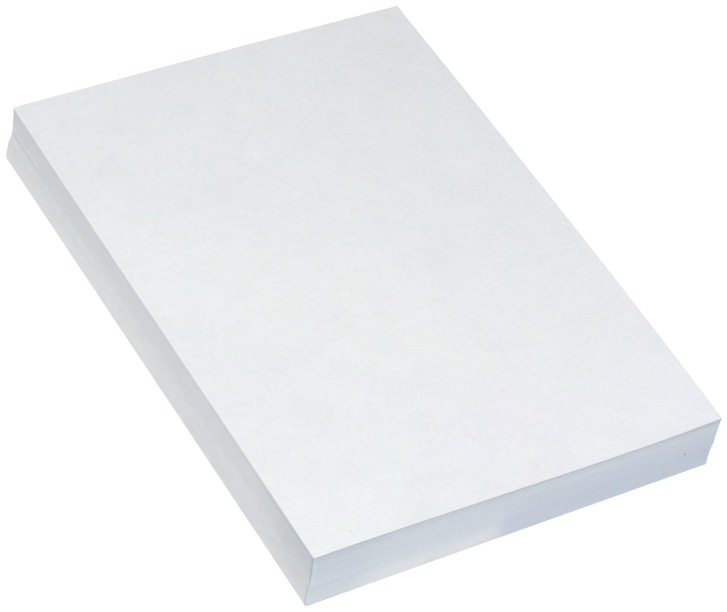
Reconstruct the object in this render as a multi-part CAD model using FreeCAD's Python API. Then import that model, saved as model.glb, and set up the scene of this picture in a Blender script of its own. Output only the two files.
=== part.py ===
"""A ream of plain paper without its wrapper: a pack of loose A4 sheets, squared up by hand on a table.

Every sheet is a solid of its own. They lie flat on each other up to the topmost lifts, which have curled and
let in a little air. The stack isn't quite square: it leans, it has a ledge a third of the way up where two
portions of the pack were put together, and its lifts and sheets stray a little from that lean.

Millimetres. +X is to the right across the sheet, +Y is towards the back along its length, +Z is up, and the
origin is under the middle of the stack, in the plane that it rests on.
"""
import FreeCAD, Part
import os
import random

SHEET_WIDTH = 210.0
SHEET_LENGTH = 297.0
SHEET_THICKNESS = 0.125
SHEET_COUNT = 250
SHEETS_PER_LIFT = 8

# Lean of the stack: share of its height, then how far a sheet there lies to the right and to the back, and its turn
# in degrees, anticlockwise from above
LEAN = [
    (0.00, -0.85, -0.65, 0.40),
    (0.08, -0.50, 0.15, 0.37),
    (0.20, -0.05, 0.50, 0.30),
    (0.34, 0.35, 0.50, 0.26),
    (0.43, 1.45, 0.90, 0.10),
    (0.60, 1.60, 1.20, 0.12),
    (0.85, 0.80, 0.25, 0.02),
    (1.00, -0.25, -1.10, 0.00),
]

# How far a whole lift, and then a single sheet, may stray from the lean to any side
LIFT_STRAY = 0.05
SHEET_STRAY = 0.035
STRAY_SEED = 12

# The top sheet has slid out over the others, to the left and to the front, and lies loosely on them
TOP_SHEET_SLIP = 0.3
AIR_UNDER_TOP_SHEET = 0.12

# Curl of the top lift and the top sheet: heights of the sixteen points that pull their surface, row by row from the
# front edge to the back edge, each from left to right
CURL = [
    (0.90, 2.50, -2.50, 1.20),
    (1.80, 0.60, 1.20, 4.50),
    (-1.50, 0.40, 0.80, 2.10),
    (0.60, 1.20, 1.20, 0.45),
]

# The curl dies away downwards over this many lifts, with air under each of them and under each of their sheets
CURLED_LIFTS = 4
AIR_UNDER_LIFT = 0.08
AIR_UNDER_SHEET = 0.01


def flat_sheet():
    """A sheet that lies flat on z = 0, with its middle over the origin."""
    corner = FreeCAD.Vector(-SHEET_WIDTH / 2, -SHEET_LENGTH / 2, 0)
    outline = Part.makePlane(SHEET_WIDTH, SHEET_LENGTH, corner)
    return outline.extrude(FreeCAD.Vector(0, 0, SHEET_THICKNESS))


def curled_sheet(curl):
    """A sheet with this share of the full curl, above z = 0, with its middle over the origin."""
    surface = Part.BezierSurface()
    surface.increase(len(CURL[0]) - 1, len(CURL) - 1)
    for row, heights in enumerate(CURL):
        for column, height in enumerate(heights):
            x = SHEET_WIDTH * (column / (len(heights) - 1) - 0.5)
            y = SHEET_LENGTH * (row / (len(CURL) - 1) - 0.5)
            surface.setPole(column + 1, row + 1, FreeCAD.Vector(x, y, height * curl))
    return surface.toShape().extrude(FreeCAD.Vector(0, 0, SHEET_THICKNESS))


def lean_at(share):
    """How far right and back, and how far turned, the stack is at this share of its height."""
    for below, above in zip(LEAN, LEAN[1:]):
        if share <= above[0]:
            mix = (share - below[0]) / (above[0] - below[0])
            return [low + (high - low) * mix for low, high in zip(below[1:], above[1:])]


def stray(draw, most):
    """A random shift of up to this much to the right and to the back."""
    return draw.uniform(-most, most), draw.uniform(-most, most)


def lifts():
    """The node names of the pack from the bottom up, each with the numbers of its sheets, counted from 0."""
    named = {"bottom_sheet": [0]}
    between = range(1, SHEET_COUNT - 1)
    for count, first in enumerate(between[::SHEETS_PER_LIFT], 1):
        last = min(first + SHEETS_PER_LIFT, SHEET_COUNT - 1)
        named[f"lift_{count:02d}"] = list(range(first, last))
    named["top_sheet"] = [SHEET_COUNT - 1]
    return named


def curl_of(place, places):
    """The share of the full curl that the lift at this place has, counted from 0 at the bottom."""
    last_flat = places - 2 - CURLED_LIFTS
    return min(max(place - last_flat, 0) / CURLED_LIFTS, 1)


def stack():
    """The solids of each node, sheet on sheet from the bottom up."""
    draw = random.Random(STRAY_SEED)
    packed = lifts()
    nodes = {}
    z = 0.0
    for place, (node, numbers) in enumerate(packed.items()):
        curl = curl_of(place, len(packed))
        if node == "top_sheet":
            z += AIR_UNDER_TOP_SHEET
        elif curl:
            z += AIR_UNDER_LIFT
        lift_x, lift_y = stray(draw, LIFT_STRAY)
        nodes[node] = []
        for number in numbers:
            z += AIR_UNDER_SHEET if curl else 0
            right, back, turn = lean_at(number / (SHEET_COUNT - 1))
            sheet_x, sheet_y = stray(draw, SHEET_STRAY)
            if node == "top_sheet":
                sheet_x = sheet_y = -TOP_SHEET_SLIP
            middle = FreeCAD.Vector(right + lift_x + sheet_x, back + lift_y + sheet_y, z)
            turned = FreeCAD.Rotation(FreeCAD.Vector(0, 0, 1), turn)
            sheet = curled_sheet(curl) if curl else flat_sheet()
            sheet.Placement = FreeCAD.Placement(middle, turned)
            nodes[node].append(sheet)
            z += SHEET_THICKNESS
    return nodes


os.makedirs("parts", exist_ok=True)
for name, sheets in stack().items():
    Part.makeCompound(sheets).exportStep(f"parts/{name}.step")
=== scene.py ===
"""Looks of a ream of plain white paper without its wrapper: loose sheets, squared up by hand, in a soft white studio.

Metres, in the part's own frame: +X to the right across the sheets, +Y to the back along them, +Z up, and the origin
under the middle of the stack. The flat lifts lie where their solids lie. In the curled lifts the curl grows evenly
from sheet to sheet here, so their lower sheets lie up to 0.7 mm lower than the solids, whose curl grows from lift to
lift. The waves of the upper sheets, the small differences between one sheet and the next, and the finish of the
paper are also made here.
"""
import math

import bpy
import numpy as np
from mathutils import Matrix, Vector


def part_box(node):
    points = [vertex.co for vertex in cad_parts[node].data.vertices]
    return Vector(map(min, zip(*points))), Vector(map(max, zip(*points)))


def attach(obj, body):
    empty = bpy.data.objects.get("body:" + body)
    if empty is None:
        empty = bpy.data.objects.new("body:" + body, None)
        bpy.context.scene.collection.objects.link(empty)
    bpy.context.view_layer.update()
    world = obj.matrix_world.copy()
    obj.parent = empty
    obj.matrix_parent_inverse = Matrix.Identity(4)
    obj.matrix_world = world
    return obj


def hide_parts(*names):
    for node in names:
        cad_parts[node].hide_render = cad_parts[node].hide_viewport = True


bl_info = {
    "name": "Ream of Paper",
    "version": (1, 0, 0),
    "blender": (4, 5, 0),
    "location": "3D View > Sidebar > Ream",
    "description": "A squared-up stack of loose paper sheets, with a studio around it",
    "category": "Add Mesh",
}

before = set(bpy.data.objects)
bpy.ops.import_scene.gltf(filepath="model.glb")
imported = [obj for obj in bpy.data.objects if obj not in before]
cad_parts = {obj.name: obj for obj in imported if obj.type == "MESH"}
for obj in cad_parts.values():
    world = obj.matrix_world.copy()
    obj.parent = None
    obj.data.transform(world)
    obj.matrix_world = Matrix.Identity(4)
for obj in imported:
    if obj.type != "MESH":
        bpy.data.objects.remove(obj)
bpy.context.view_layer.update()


def size_of(node):
    low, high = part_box(node)
    return high - low


def middle_of(node):
    low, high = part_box(node)
    return (low + high) / 2


BOTTOM_SHEET, *LIFTS, TOP_SHEET = sorted(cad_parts, key=lambda node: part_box(node)[0].z)
SHEET_WIDTH = size_of(TOP_SHEET).x
SHEET_LENGTH = size_of(TOP_SHEET).y
SHEET_THICKNESS = size_of(BOTTOM_SHEET).z
MM = 0.001

# Lean of the stack: share of its sheets, then how far a sheet there lies to the right and to the back, and its turn
# in degrees, anticlockwise from above
LEAN = [
    (0.00, -0.85 * MM, -0.65 * MM, 0.40),
    (0.08, -0.50 * MM, 0.15 * MM, 0.37),
    (0.20, -0.05 * MM, 0.50 * MM, 0.30),
    (0.34, 0.35 * MM, 0.50 * MM, 0.26),
    (0.43, 1.45 * MM, 0.90 * MM, 0.10),
    (0.60, 1.60 * MM, 1.20 * MM, 0.12),
    (0.85, 0.80 * MM, 0.25 * MM, 0.02),
    (1.00, -0.25 * MM, -1.10 * MM, 0.00),
]

# Curl of the top lift and the top sheet: heights of the sixteen points that pull their surface, row by row from the
# front edge to the back edge, each from left to right
CURL = [
    (0.90 * MM, 2.50 * MM, -2.50 * MM, 1.20 * MM),
    (1.80 * MM, 0.60 * MM, 1.20 * MM, 4.50 * MM),
    (-1.50 * MM, 0.40 * MM, 0.80 * MM, 2.10 * MM),
    (0.60 * MM, 1.20 * MM, 1.20 * MM, 0.45 * MM),
]

# The air under each curled lift, which its sheets share
AIR_UNDER_LIFT = 0.08 * MM

# The size of the waves on the curled sheets
WAVE_SIZE = 90 * MM

# Cells across and along a flat sheet, a curled sheet and the top sheet
FLAT_CELLS = (8, 3)
CURLED_CELLS = (12, 16)
TOP_CELLS = (42, 60)

# A sheet's face and its cut meet at a right angle, and anything flatter than this many degrees is shaded as one
RIM_ANGLE = 40

# How far in from a sheet's edge its cut may lie
CUT_REACH = 0.2 * MM

# The paper: the sizes of its fibres, of the clouds that they form, and of the grain of a cut; and its bumps
FIBRE_SIZE = 2.4 * MM
FORMATION_SIZE = 14 * MM
GRAIN_SIZE = 2.5 * MM
BUMP_HEIGHT = 0.05 * MM

# Streaks along the cuts, partly painted shade: how long and how high a streak is, and how far and how often it rises
# and falls
STREAK_LENGTH = 50 * MM
STREAK_HEIGHT = 1.9 * MM
STREAK_RISE = 9 * MM
STREAK_SWING = 30 * MM

# Small flecks: their places on a sheet's own face, and those on the front of the stack, each with its radius
FACE_FLECKS = [
    (-83.5 * MM, -141.4 * MM, 0.0, 0.6 * MM),
    (78.0 * MM, 107.1 * MM, 0.0, 0.5 * MM),
    (46.2 * MM, 110.6 * MM, 0.0, 0.4 * MM),
]
CUT_FLECKS = [
    (90.9 * MM, -147.5 * MM, 12.1 * MM, 0.75 * MM),
    (94.6 * MM, -147.6 * MM, 4.2 * MM, 0.35 * MM),
]

# The camera: where it stands, seen from the middle of the top sheet at the height of its corners, how it is turned,
# its lens, and that height
CAMERA_PLACE = Vector((-0.66795, -0.8834, 1.0899))
CAMERA_AZIMUTH = math.radians(-37.42)
CAMERA_ELEVATION = math.radians(45.30)
CAMERA_ROLL = math.radians(11.40)
CAMERA_LENS = 167.64
TOP_CORNERS_HEIGHT = 32.67 * MM

# The lamps by their names in the stage's settings: the place, the size and the colour of each
LAMPS = {
    "overhead": ((-0.13, -0.16, 1.18), 0.75, (1.0, 0.985, 0.95)),
    "near": ((-0.6, -0.9, 0.85), 0.6, (1.0, 0.94, 0.78)),
    "left": ((-1.3, 0.1, 0.5), 0.8, (0.93, 0.955, 1.0)),
    "front": ((0.2, -1.4, 0.4), 0.8, (0.48, 0.69, 0.97)),
}
SKY_COLOUR = (0.845, 0.905, 1.0)
WHITE = (1.0, 1.0, 1.0)

# The floor: how far it reaches, the grey by which it lights the stack, its glow near the stack, and how far out the
# glow starts to grow and is white
FLOOR_REACH = 3.0
FLOOR_GREY = (0.8, 0.8, 0.8)
FLOOR_GLOW = (0.35, 0.35, 0.35)
FLOOR_GLOW_GROWS = (0.4, 1.4)


class Signal:
    """What a node puts out, for sums in Python and as the input of other nodes in its tree."""

    def __init__(self, tree, socket=None):
        self.tree = tree
        self.socket = socket

    def node(self, kind, settings=None, inputs=None, output=0):
        """The output of a new node of this kind: its settings are made first, then its inputs' values or links."""
        made = self.tree.nodes.new(kind)
        for name, value in (settings or {}).items():
            setattr(made, name, value)
        for name, value in (inputs or {}).items():
            if isinstance(value, Signal):
                self.tree.links.new(value.socket, made.inputs[name])
            else:
                made.inputs[name].default_value = value
        return Signal(self.tree, made.outputs[output] if made.outputs else None)

    def out(self, name):
        """Another output of the same node."""
        return Signal(self.tree, self.socket.node.outputs[name])

    def math(self, operation, first, second=0.0):
        return self.node("ShaderNodeMath", {"operation": operation}, {0: first, 1: second})

    def __add__(self, other):
        return self.math("ADD", self, other)

    def __sub__(self, other):
        return self.math("SUBTRACT", self, other)

    def __rsub__(self, other):
        return self.math("SUBTRACT", other, self)

    def __mul__(self, other):
        return self.math("MULTIPLY", self, other)

    def __truediv__(self, other):
        return self.math("DIVIDE", self, other)

    def __pow__(self, other):
        return self.math("POWER", self, other)

    def __gt__(self, other):
        return self.math("GREATER_THAN", self, other)

    def __abs__(self):
        return self.math("ABSOLUTE", self)

    __radd__ = __add__
    __rmul__ = __mul__

    def vector(self, x=0.0, y=0.0, z=0.0):
        return self.node("ShaderNodeCombineXYZ", {}, {"X": x, "Y": y, "Z": z})

    def separate(self, place):
        """The three numbers of a place, as the outputs X, Y and Z."""
        return self.node("ShaderNodeSeparateXYZ", {}, {0: place})

    def attribute(self, name, output="Fac"):
        """A number or a place that the mesh keeps under this name, for a material."""
        return self.node("ShaderNodeAttribute", {"attribute_name": name}).out(output)

    def named(self, name, kind="FLOAT"):
        """A number or a place that the mesh keeps under this name, for geometry."""
        return self.node("GeometryNodeInputNamedAttribute", {"data_type": kind}, {"Name": name})

    def specks(self, spacing, place):
        """How far it is to the nearest of some random points, as a share of this spacing between them."""
        return self.node("ShaderNodeTexVoronoi", {}, {"Vector": place, "Scale": 1 / spacing})

    def noise(self, size, detail, place):
        """Soft noise about 0.5, with features of this size, at a place."""
        return self.node("ShaderNodeTexNoise", {}, {"Vector": place, "Scale": 1 / size, "Detail": detail})

    def clouds(self, size, reach, place):
        """Soft clouds of faint tints with features of this size, each channel within half the reach of 1."""
        inputs = {"Vector": place, "Scale": 1 / size, "Detail": 1.0}
        tints = self.node("ShaderNodeTexNoise", {}, inputs, output="Color")
        spread = {0: tints, 1: (reach,) * 3, 2: (1 - reach / 2,) * 3}
        return self.node("ShaderNodeVectorMath", {"operation": "MULTIPLY_ADD"}, spread)

    def ramp(self, low, high):
        """0 up to low and 1 from high on with a soft change between, or the other way round where high is lower."""
        ends = {"From Min": low, "From Max": high}
        return self.node("ShaderNodeMapRange", {"interpolation_type": "SMOOTHSTEP"}, {"Value": self, **ends})

    def mix(self, share, first, second, blend="MIX"):
        """The colour at this share of the way from the first colour to the second, or to both multiplied."""
        ends = {6: first, 7: second}
        ends = {socket: end if isinstance(end, Signal) else (*end, 1.0) for socket, end in ends.items()}
        return self.node("ShaderNodeMix", {"data_type": "RGBA", "blend_type": blend}, {0: share, **ends}, output=2)

    def tinted(self, tints):
        """This colour multiplied by each tint, as far as the tint's mask says."""
        colour = self
        for mask, tint in tints:
            colour = self.mix(mask, colour, tint, "MULTIPLY")
        return colour


class SheetSettings(bpy.types.PropertyGroup):
    width: bpy.props.FloatProperty(
        name="Width", description="Width of a sheet", default=SHEET_WIDTH, unit="LENGTH", precision=4
    )
    length: bpy.props.FloatProperty(
        name="Length", description="Length of a sheet", default=SHEET_LENGTH, unit="LENGTH", precision=4
    )
    thickness: bpy.props.FloatProperty(
        name="Thickness", description="Thickness of a sheet", default=SHEET_THICKNESS, unit="LENGTH", precision=6
    )
    per_lift: bpy.props.IntProperty(name="Sheets per Lift", description="Sheets in each lift", default=8)
    curled_lifts: bpy.props.IntProperty(
        name="Curled Lifts", description="Lifts, from the top down, over which the curl dies away", default=4
    )
    stray: bpy.props.FloatProperty(
        name="Stray", description="How far a sheet may lie out of line", default=0.03 * MM, unit="LENGTH", precision=6
    )
    wave: bpy.props.FloatProperty(
        name="Wave", description="Height of the top sheet's waves", default=0.25 * MM, unit="LENGTH", precision=6
    )


class FinishSettings(bpy.types.PropertyGroup):
    face_light: bpy.props.FloatVectorProperty(
        name="Face", description="Colour of the paper's face where its fibres lie close",
        default=(0.90, 0.91, 0.925), subtype="COLOR",
    )
    face_dark: bpy.props.FloatVectorProperty(
        name="Face Mottle", description="Colour of the paper's face between its fibres",
        default=(0.76, 0.775, 0.795), subtype="COLOR",
    )
    cut_light: bpy.props.FloatVectorProperty(
        name="Cut Edge", description="Colour of the lightest cut edges",
        default=(0.81, 0.825, 0.845), subtype="COLOR",
    )
    cut_dark: bpy.props.FloatVectorProperty(
        name="Cut Edge Shade", description="Colour of the darkest cut edges",
        default=(0.73, 0.75, 0.78), subtype="COLOR",
    )


class StageSettings(bpy.types.PropertyGroup):
    sky: bpy.props.FloatProperty(name="Sky", description="Strength of the light from all round", default=0.256)
    overhead: bpy.props.FloatProperty(
        name="Overhead Lamp", description="Power of the lamp above the middle", default=8.3, unit="POWER"
    )
    near: bpy.props.FloatProperty(
        name="Near Lamp", description="Power of the warm lamp beyond the near corner", default=3.9, unit="POWER"
    )
    left: bpy.props.FloatProperty(
        name="Left Lamp", description="Power of the lamp at the left", default=4.0, unit="POWER"
    )
    front: bpy.props.FloatProperty(
        name="Front Lamp", description="Power of the cool lamp in front", default=4.2, unit="POWER"
    )


def new_material(name):
    """An empty material, and the signal that its nodes grow from."""
    material = bpy.data.materials.new(name)
    material.use_nodes = True
    material.node_tree.nodes.clear()
    return material, Signal(material.node_tree)


def end_in_paper(start, colour, relief, strength):
    """Ends a material in matt paper of this colour, with this relief."""
    bump = start.node("ShaderNodeBump", {}, {"Strength": strength, "Distance": BUMP_HEIGHT, "Height": relief})
    inputs = {"Base Color": colour, "Roughness": 0.9, "Specular IOR Level": 0.2, "Normal": bump}
    paper = start.node("ShaderNodeBsdfPrincipled", {}, inputs)
    start.node("ShaderNodeOutputMaterial", {}, {"Surface": paper})


def flecks(start, place, spots):
    """1 on each of these small flecks and 0 around them: their places on the surface, each with a radius."""
    marks = 0.0
    for *spot, radius in spots:
        away = start.node("ShaderNodeVectorMath", {"operation": "DISTANCE"}, {0: place, 1: spot}, output="Value")
        marks = away.ramp(radius * 1.4, radius * 0.5) + marks
    return marks


def face_material(finish):
    """The face of uncoated white paper: fibres closer here and wider there, soft clouds of tint, and small specks."""
    material, start = new_material("paper_face")
    place = start.node("ShaderNodeTexCoord").out("Object")
    right, back = (start.separate(place).out(axis) for axis in "XY")
    fibres = start.noise(FIBRE_SIZE, 4.0, place)
    formation = start.noise(FORMATION_SIZE, 1.0, place)
    colour = start.mix(fibres * 0.65 + formation * 0.35, finish.face_dark, finish.face_light)

    across_band = abs(right * 0.57 + back * 0.82 + 28 * MM)
    warm_band = across_band.ramp(50 * MM, 15 * MM) * right.ramp(35 * MM, 0.0)
    front_tint = right.ramp(-50 * MM, -10 * MM) * back.ramp(-70 * MM, -110 * MM)
    colour = colour.tinted([
        (1.0, start.clouds(6 * MM, 0.03, place)),
        (1.0, start.clouds(65 * MM, 0.05, place)),
        (warm_band, (1.03, 1.018, 1.004)),
        (front_tint, (1.015, 1.002, 1.022)),
        (start.specks(9 * MM, place).ramp(0.07, 0.03), (0.95, 0.95, 0.96)),
        (start.specks(7 * MM, place).ramp(0.09, 0.04), (1.03, 1.03, 1.03)),
        (flecks(start, start.attribute("spot", "Vector"), FACE_FLECKS), (0.84, 0.85, 0.87)),
    ])
    end_in_paper(start, colour, fibres, 0.15)
    return material


def cut_material(finish):
    """The cut edges: each sheet a little lighter or darker than the next, streaks, and painted shade, light and
    highlights in places.

    Places on the cuts count from the sheet's own left and front edges, and heights from the foot of the stack.
    """
    material, start = new_material("paper_cut")
    place = start.node("ShaderNodeTexCoord").out("Object")
    height = start.separate(place).out("Z")
    spot = start.separate(start.attribute("spot", "Vector"))
    from_left = spot.out("X") + SHEET_WIDTH / 2
    from_front = spot.out("Y") + SHEET_LENGTH / 2
    left = from_left.ramp(CUT_REACH, CUT_REACH / 2)
    front = from_front.ramp(CUT_REACH, CUT_REACH / 2)
    depth = start.attribute("depth")

    wavy = height + start.noise(STREAK_SWING, 1.0, place) * STREAK_RISE
    drawn_out = {0: place, 1: (1 / STREAK_LENGTH, 1 / STREAK_LENGTH, 0.0), 2: start.vector(z=wavy / STREAK_HEIGHT)}
    streaks = start.noise(1.0, 2.0, start.node("ShaderNodeVectorMath", {"operation": "MULTIPLY_ADD"}, drawn_out))
    at_ledge = left * from_front.ramp(250 * MM, 275 * MM)
    near_ledge = at_ledge * abs(height - 15.5 * MM).ramp(6 * MM, 2 * MM)
    # Painted shade: the streaks are stronger by the near corner and at the ledge, where sheets lie out of line
    shaded_streaks = front * from_left.ramp(48 * MM, 18 * MM) + near_ledge
    grain = start.noise(GRAIN_SIZE, 2.0, place)
    share = start.attribute("tone") * 0.3 + grain * 0.5 + (streaks - 0.5) * (shaded_streaks * 2.2 + 0.4) + 0.1
    colour = start.mix(share, finish.cut_dark, finish.cut_light)

    # On the left
    # Painted shade: a dark line on the left side beside the near corner
    painted_corner_shade = left * from_front.ramp(1.7 * MM, 0.9 * MM)
    # Painted shade: the left side darker towards the near corner, except at its foot
    painted_shade_near_corner = left * from_front.ramp(60 * MM, 10 * MM) * height.ramp(0.0, 14 * MM)
    near_half = left * from_front.ramp(190 * MM, 150 * MM) * height.ramp(25 * MM, 17 * MM)
    # Painted light: the foot of the left side lighter towards the back
    painted_light_rear_foot = left * from_front.ramp(90 * MM, 170 * MM) * height.ramp(13 * MM, 3 * MM)
    ledge_shade = at_ledge * abs(height - 14.2 * MM).ramp(1.0 * MM, 0.4 * MM)
    # Painted highlight along the upper rim of the ledge
    painted_ledge_highlight = at_ledge * abs(height - 16.8 * MM).ramp(0.9 * MM, 0.4 * MM)
    # On the front
    # Painted highlight: a light line on the front beside the near corner
    painted_corner_highlight = front * from_left.ramp(1.2 * MM, 0.6 * MM)
    # Painted shade: the front darker towards the near corner
    painted_shade_front_end = front * from_left.ramp(45 * MM, 15 * MM)
    # Painted shade: the right half of the front darker towards the foot
    painted_shade_right_half = front * from_left.ramp(92 * MM, 106 * MM) * height.ramp(25 * MM, 8 * MM)
    # Painted light: a light, warm patch at the foot of the front, left of the middle
    light_patch_span = from_left.ramp(8 * MM, 36 * MM) * from_left.ramp(102 * MM, 89 * MM)
    painted_light_patch = front * light_patch_span * height.ramp(13 * MM, 3 * MM)
    # By the number of sheets above, in the shadow of the top sheet's edge
    in_shadow = depth.ramp(5.5, 1.5)
    rear_shadow = left * from_front.ramp(110 * MM, 170 * MM) * in_shadow
    front_shadow = front * depth.ramp(17, 12)
    right_shadow = front * from_left.ramp(60 * MM, 110 * MM) * depth.ramp(26, 13)
    colour = colour.tinted([
        (1.0, start.clouds(9 * MM, 0.05, place)),
        (painted_corner_shade, (0.82, 0.825, 0.84)),
        (painted_shade_near_corner, (0.845, 0.87, 0.89)),
        (painted_light_rear_foot, (1.065, 1.05, 1.02)),
        (near_half, (1.0, 0.99, 0.985)),
        (ledge_shade, (0.93, 0.93, 0.935)),
        (painted_ledge_highlight, (1.05, 1.05, 1.05)),
        (painted_corner_highlight, (1.07, 1.065, 1.06)),
        (painted_shade_front_end, (0.935, 0.945, 0.955)),
        (painted_shade_right_half, (0.885, 0.90, 0.93)),
        (painted_light_patch, (1.16, 1.09, 1.035)),
        (in_shadow, (0.84, 0.85, 0.86)),
        (rear_shadow, (0.95, 0.95, 0.96)),
        (front_shadow, (0.90, 0.90, 0.905)),
        (right_shadow, (0.925, 0.925, 0.93)),
        (flecks(start, place, CUT_FLECKS), (0.6, 0.62, 0.7)),
    ])
    end_in_paper(start, colour, grain, 0.2)
    return material


SHEET_INPUTS = {
    "Points": "NodeSocketGeometry",
    "Width": "NodeSocketFloat",
    "Length": "NodeSocketFloat",
    "Thickness": "NodeSocketFloat",
    "Cells Across": "NodeSocketInt",
    "Cells Along": "NodeSocketInt",
    "Stray": "NodeSocketFloat",
    "Wave": "NodeSocketFloat",
    "Seed": "NodeSocketInt",
    "Face": "NodeSocketMaterial",
    "Cut": "NodeSocketMaterial",
}


def pull(share, points):
    """How strongly each of these points, in a row, pulls at this share of the way from the first to the last."""
    last = len(points) - 1
    return [share**place * (1 - share) ** (last - place) * math.comb(last, place) for place in range(len(points))]


def curled_height(across, along):
    """The height of the fully curled surface at these shares of its width and length."""
    height = 0
    for row, heights in zip(pull(along, CURL), CURL):
        for column, rise in zip(pull(across, heights), heights):
            height = row * column * rise + height
    return height


def flat_sheet(given):
    """One sheet that lies flat on z = 0, its middle over the origin. Its points keep their places on it."""
    width, length, thickness = (given.out(name) for name in ("Width", "Length", "Thickness"))
    counts = {"Vertices X": given.out("Cells Across") + 1, "Vertices Y": given.out("Cells Along") + 1}
    sheet = given.node("GeometryNodeMeshCube", {}, {"Size": given.vector(width, length, thickness), **counts})
    place = given.separate(given.node("GeometryNodeInputPosition"))
    spot = {"Geometry": sheet, "Name": "spot", "Value": given.vector(place.out("X"), place.out("Y"))}
    sheet = given.node("GeometryNodeStoreNamedAttribute", {"data_type": "FLOAT_VECTOR"}, spot)
    return given.node("GeometryNodeSetPosition", {}, {"Geometry": sheet, "Offset": given.vector(z=thickness / 2)})


def curled(given, sheets):
    """These sheets, each with its own share of the curl and of the waves."""
    spot = given.named("spot", "FLOAT_VECTOR")
    place = given.separate(spot)
    across, along = place.out("X") / given.out("Width") + 0.5, place.out("Y") / given.out("Length") + 0.5
    wave = (given.noise(WAVE_SIZE, 1.0, spot) - 0.5) * given.out("Wave") * 2
    rise = (curled_height(across, along) + wave) * given.named("curl")
    return given.node("GeometryNodeSetPosition", {}, {"Geometry": sheets, "Offset": given.vector(z=rise)})


def sheet_tree():
    """The node tree that lays a sheet on each point, lets it stray and gives it its two finishes."""
    tree = bpy.data.node_groups.new("Loose Sheets", "GeometryNodeTree")
    tree.is_modifier = True
    for name, kind in SHEET_INPUTS.items():
        tree.interface.new_socket(name, in_out="INPUT", socket_type=kind)
    tree.interface.new_socket("Sheets", in_out="OUTPUT", socket_type="NodeSocketGeometry")
    given = Signal(tree).node("NodeGroupInput")
    stray = given.out("Stray")
    seed = given.out("Seed")

    ends = {0: given.vector(0 - stray, 0 - stray), 1: given.vector(stray, stray)}
    shift = given.node("FunctionNodeRandomValue", {"data_type": "FLOAT_VECTOR"}, {**ends, "Seed": seed})
    points = given.node("GeometryNodeSetPosition", {}, {"Geometry": given, "Offset": shift})
    tone_seed = {"Seed": seed + len(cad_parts)}
    tone = given.node("FunctionNodeRandomValue", {"data_type": "FLOAT"}, tone_seed, output=1)
    toned = {"Geometry": points, "Name": "tone", "Value": tone}
    points = given.node("GeometryNodeStoreNamedAttribute", {"data_type": "FLOAT"}, toned)
    laid = {"Points": points, "Instance": flat_sheet(given), "Rotation": given.vector(z=given.named("turn"))}
    sheets = given.node("GeometryNodeInstanceOnPoints", {}, laid)
    sheets = curled(given, given.node("GeometryNodeRealizeInstances", {}, {"Geometry": sheets}))

    upright = given.separate(given.node("GeometryNodeInputNormal")).out("Z")
    face = abs(upright) > 0.5
    rim = given.node("GeometryNodeInputMeshEdgeAngle") > math.radians(RIM_ANGLE)
    crisp = {0: sheets, "Selection": rim, "Shade Smooth": False}
    sheets = given.node("GeometryNodeSetShadeSmooth", {"domain": "EDGE"}, crisp)
    sheets = given.node("GeometryNodeSetMaterial", {}, {"Geometry": sheets, "Material": given.out("Cut")})
    faced = {"Geometry": sheets, "Selection": face, "Material": given.out("Face")}
    sheets = given.node("GeometryNodeSetMaterial", {}, faced)
    given.node("NodeGroupOutput", {}, {"Sheets": sheets})
    return tree


def lean_at(share):
    """How far right and back, and how far turned, the stack is at this share of its sheets."""
    shares, *columns = zip(*LEAN)
    right, back, turn = (np.interp(share, shares, column) for column in columns)
    return right, back, math.radians(turn)


def lift_points(node, numbers, total, curls, thickness):
    """A mesh with a point under the middle of each of a node's sheets, as the node's box and the lean place them.

    Each point holds its sheet's turn and share of the curl, and how many sheets lie on it.
    """
    low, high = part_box(node)
    middle = middle_of(node)
    shares = np.linspace(0, 1, 41)
    heights = curls[-1] * curled_height(*np.meshgrid(shares, shares))
    count = len(numbers)
    step = (high.z - low.z - (heights.max() - heights.min()) - thickness) / max(count - 1, 1)
    bottoms = low.z - heights.min() + step * np.arange(count)
    if curls.any():
        bottoms -= AIR_UNDER_LIFT * np.arange(count)[::-1] / count
    leans = np.array([lean_at(number / (total - 1)) for number in numbers])
    shifts = leans[:, :2] - leans[:, :2].mean(axis=0)
    mesh = bpy.data.meshes.new("lift_points")
    mesh.from_pydata([(middle.x + x, middle.y + y, z) for (x, y), z in zip(shifts, bottoms)], [], [])
    depths = total - 1.0 - np.array(numbers)
    for name, values in (("turn", leans[:, 2]), ("curl", curls), ("depth", depths)):
        mesh.attributes.new(name, "FLOAT", "POINT").data.foreach_set("value", values.astype(np.float32))
    return mesh


def lay_sheets(context, node, first, count, cells, curl, stray):
    """The sheets of one node, from this number in the stack, as the finished piece that stands for the node."""
    settings = context.scene.ream_sheets
    finish = context.scene.ream_finish
    total = len(LIFTS) * settings.per_lift + 2
    curls = np.maximum(curl - np.arange(count)[::-1] / count / settings.curled_lifts, 0)
    points = lift_points(node, range(first, first + count), total, curls, settings.thickness)
    piece = bpy.data.objects.new(f"{node}_paper", points)
    context.scene.collection.objects.link(piece)
    modifier = piece.modifiers.new("Sheets", "NODES")
    modifier.node_group = bpy.data.node_groups.get("Loose Sheets") or sheet_tree()
    values = {
        "Width": settings.width,
        "Length": settings.length,
        "Thickness": settings.thickness,
        "Cells Across": cells[0],
        "Cells Along": cells[1],
        "Stray": stray,
        "Wave": settings.wave,
        "Seed": first,
        "Face": bpy.data.materials.get("paper_face") or face_material(finish),
        "Cut": bpy.data.materials.get("paper_cut") or cut_material(finish),
    }
    for socket in modifier.node_group.interface.items_tree:
        if socket.name in values:
            modifier[socket.identifier] = values[socket.name]
    graph = context.evaluated_depsgraph_get()
    finished = bpy.data.meshes.new_from_object(
        piece.evaluated_get(graph), preserve_all_data_layers=True, depsgraph=graph
    )
    piece.modifiers.clear()
    piece.data = finished
    if not finished.polygons:
        raise RuntimeError(f"{piece.name} has no faces")
    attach(piece, "root")
    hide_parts(node)


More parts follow.
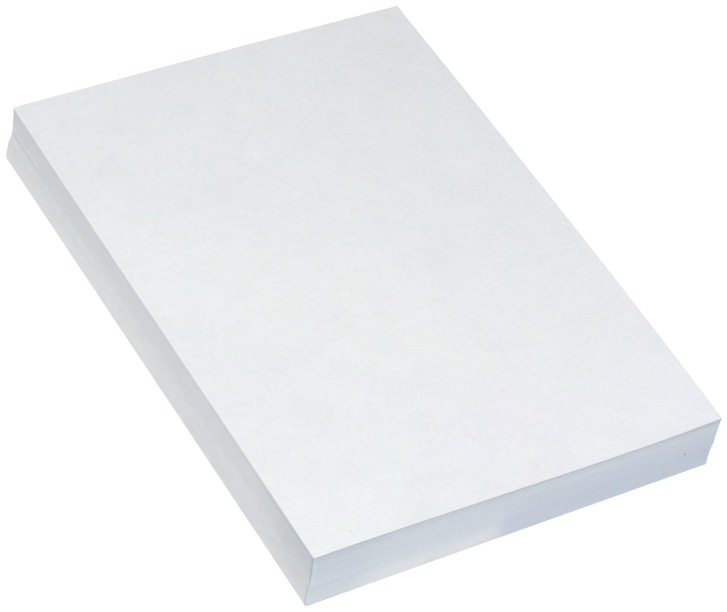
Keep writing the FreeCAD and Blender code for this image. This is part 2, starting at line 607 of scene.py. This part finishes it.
class REAM_OT_bottom_sheet(bpy.types.Operator):
    """Lay the sheet that the stack rests on"""

    bl_idname = "ream.bottom_sheet"
    bl_label = "Bottom Sheet"

    def execute(self, context):
        lay_sheets(context, BOTTOM_SHEET, 0, 1, FLAT_CELLS, curl=0.0, stray=0.0)
        return {"FINISHED"}


class REAM_OT_lifts(bpy.types.Operator):
    """Lay the lifts of sheets between the bottom sheet and the top sheet"""

    bl_idname = "ream.lifts"
    bl_label = "Lifts"

    def execute(self, context):
        settings = context.scene.ream_sheets
        for place, node in enumerate(LIFTS):
            first = 1 + place * settings.per_lift
            curl = max(place + 1 - len(LIFTS) + settings.curled_lifts, 0) / settings.curled_lifts
            cells = CURLED_CELLS if curl else FLAT_CELLS
            lay_sheets(context, node, first, settings.per_lift, cells, curl, settings.stray)
        return {"FINISHED"}


class REAM_OT_top_sheet(bpy.types.Operator):
    """Lay the sheet that shows its face"""

    bl_idname = "ream.top_sheet"
    bl_label = "Top Sheet"

    def execute(self, context):
        last = 1 + len(LIFTS) * context.scene.ream_sheets.per_lift
        lay_sheets(context, TOP_SHEET, last, 1, TOP_CELLS, curl=1.0, stray=0.0)
        return {"FINISHED"}


def seen_directly(start):
    """1 for what the camera sees, also in gloss or through glass, and 0 for light on its way to the object."""
    path = start.node("ShaderNodeLightPath")
    seen = start.math("MAXIMUM", path.out("Is Camera Ray"), path.out("Is Glossy Ray"))
    return start.math("MAXIMUM", seen, path.out("Is Transmission Ray"))


def make_floor(context):
    """A plain white floor that keeps the stack's shadow, and glows more where the lamps don't reach."""
    corners = [(FLOOR_REACH * x, FLOOR_REACH * y, 0.0) for x, y in ((-1, -1), (1, -1), (1, 1), (-1, 1))]
    mesh = bpy.data.meshes.new("floor")
    mesh.from_pydata(corners, [], [(0, 1, 2, 3)])
    floor = bpy.data.objects.new("floor", mesh)
    context.scene.collection.objects.link(floor)
    material, start = new_material("floor_white")
    lit = start.node("ShaderNodeBsdfDiffuse", {}, {"Color": (*WHITE, 1.0)})
    place = start.node("ShaderNodeTexCoord").out("Object")
    away = start.node("ShaderNodeVectorMath", {"operation": "LENGTH"}, {0: place}, output="Value")
    glow = start.mix(away.ramp(*FLOOR_GLOW_GROWS), FLOOR_GLOW, WHITE)
    glow = start.node("ShaderNodeEmission", {}, {"Color": glow})
    white = start.node("ShaderNodeAddShader", {}, {0: lit, 1: glow})
    plain = start.node("ShaderNodeBsdfDiffuse", {}, {"Color": (*FLOOR_GREY, 1.0)})
    surface = start.node("ShaderNodeMixShader", {}, {0: seen_directly(start), 1: plain, 2: white})
    start.node("ShaderNodeOutputMaterial", {}, {"Surface": surface})
    mesh.materials.append(material)


def make_sky(context):
    """Even light from all round, which the camera sees as white."""
    world = bpy.data.worlds.new("sky")
    world.use_nodes = True
    world.node_tree.nodes.clear()
    start = Signal(world.node_tree)
    strength = context.scene.ream_stage.sky
    even = start.node("ShaderNodeBackground", {}, {"Color": (*SKY_COLOUR, 1.0), "Strength": strength})
    white = start.node("ShaderNodeBackground", {}, {"Color": (*WHITE, 1.0), "Strength": 1.0})
    surface = start.node("ShaderNodeMixShader", {}, {0: seen_directly(start), 1: even, 2: white})
    start.node("ShaderNodeOutputWorld", {}, {"Surface": surface})
    context.scene.world = world


def make_lamp(context, name, place, size, power, colour):
    """A square soft lamp that looks from its place at the stack."""
    light = bpy.data.lights.new(name, "AREA")
    light.size = size
    light.energy = power
    light.color = colour
    lamp = bpy.data.objects.new(name, light)
    lamp.location = place
    lamp.rotation_euler = (-Vector(place)).to_track_quat("-Z", "Y").to_euler()
    context.scene.collection.objects.link(lamp)


def make_camera(context):
    """A long lens from the front left and above, held a little aslant."""
    back = Vector((
        math.sin(CAMERA_AZIMUTH) * math.cos(CAMERA_ELEVATION),
        -math.cos(CAMERA_AZIMUTH) * math.cos(CAMERA_ELEVATION),
        math.sin(CAMERA_ELEVATION),
    ))
    level = Vector((0.0, 0.0, 1.0)).cross(back).normalized()
    upright = back.cross(level)
    right = level * math.cos(CAMERA_ROLL) + upright * math.sin(CAMERA_ROLL)
    up = upright * math.cos(CAMERA_ROLL) - level * math.sin(CAMERA_ROLL)
    data = bpy.data.cameras.new("camera")
    data.lens = CAMERA_LENS
    data.clip_start = 0.05
    camera = bpy.data.objects.new("camera", data)
    top = middle_of(TOP_SHEET)
    target = Vector((top.x, top.y, TOP_CORNERS_HEIGHT))
    turn = Matrix((right, up, back)).transposed().to_4x4()
    camera.matrix_world = Matrix.Translation(target + CAMERA_PLACE) @ turn
    context.scene.collection.objects.link(camera)
    context.scene.camera = camera


class REAM_OT_stage(bpy.types.Operator):
    """Set up the floor, the light and the camera"""

    bl_idname = "ream.stage"
    bl_label = "Stage"

    def execute(self, context):
        settings = context.scene.ream_stage
        make_floor(context)
        make_sky(context)
        for name, (place, size, colour) in LAMPS.items():
            make_lamp(context, f"{name}_lamp", place, size, getattr(settings, name), colour)
        make_camera(context)
        context.scene.view_settings.view_transform = "Standard"
        return {"FINISHED"}


OPERATORS = (REAM_OT_bottom_sheet, REAM_OT_lifts, REAM_OT_top_sheet, REAM_OT_stage)


class REAM_PT_sidebar(bpy.types.Panel):
    """The ream's settings and tools, in the sidebar of the 3D view"""

    bl_label = "Ream of Paper"
    bl_idname = "REAM_PT_sidebar"
    bl_space_type = "VIEW_3D"
    bl_region_type = "UI"
    bl_category = "Ream"

    def draw(self, context):
        for settings in (context.scene.ream_sheets, context.scene.ream_finish, context.scene.ream_stage):
            box = self.layout.box()
            for name in settings.__annotations__:
                box.prop(settings, name)
        for operator in OPERATORS:
            self.layout.operator(operator.bl_idname)


CLASSES = (SheetSettings, FinishSettings, StageSettings, *OPERATORS, REAM_PT_sidebar)


def register():
    for made in CLASSES:
        bpy.utils.register_class(made)
    bpy.types.Scene.ream_sheets = bpy.props.PointerProperty(type=SheetSettings)
    bpy.types.Scene.ream_finish = bpy.props.PointerProperty(type=FinishSettings)
    bpy.types.Scene.ream_stage = bpy.props.PointerProperty(type=StageSettings)


def unregister():
    del bpy.types.Scene.ream_stage
    del bpy.types.Scene.ream_finish
    del bpy.types.Scene.ream_sheets
    for made in reversed(CLASSES):
        bpy.utils.unregister_class(made)


def main():
    register()
    bpy.ops.ream.bottom_sheet()
    bpy.ops.ream.lifts()
    bpy.ops.ream.top_sheet()
    bpy.ops.ream.stage()


if __name__ == "__main__":
    main()
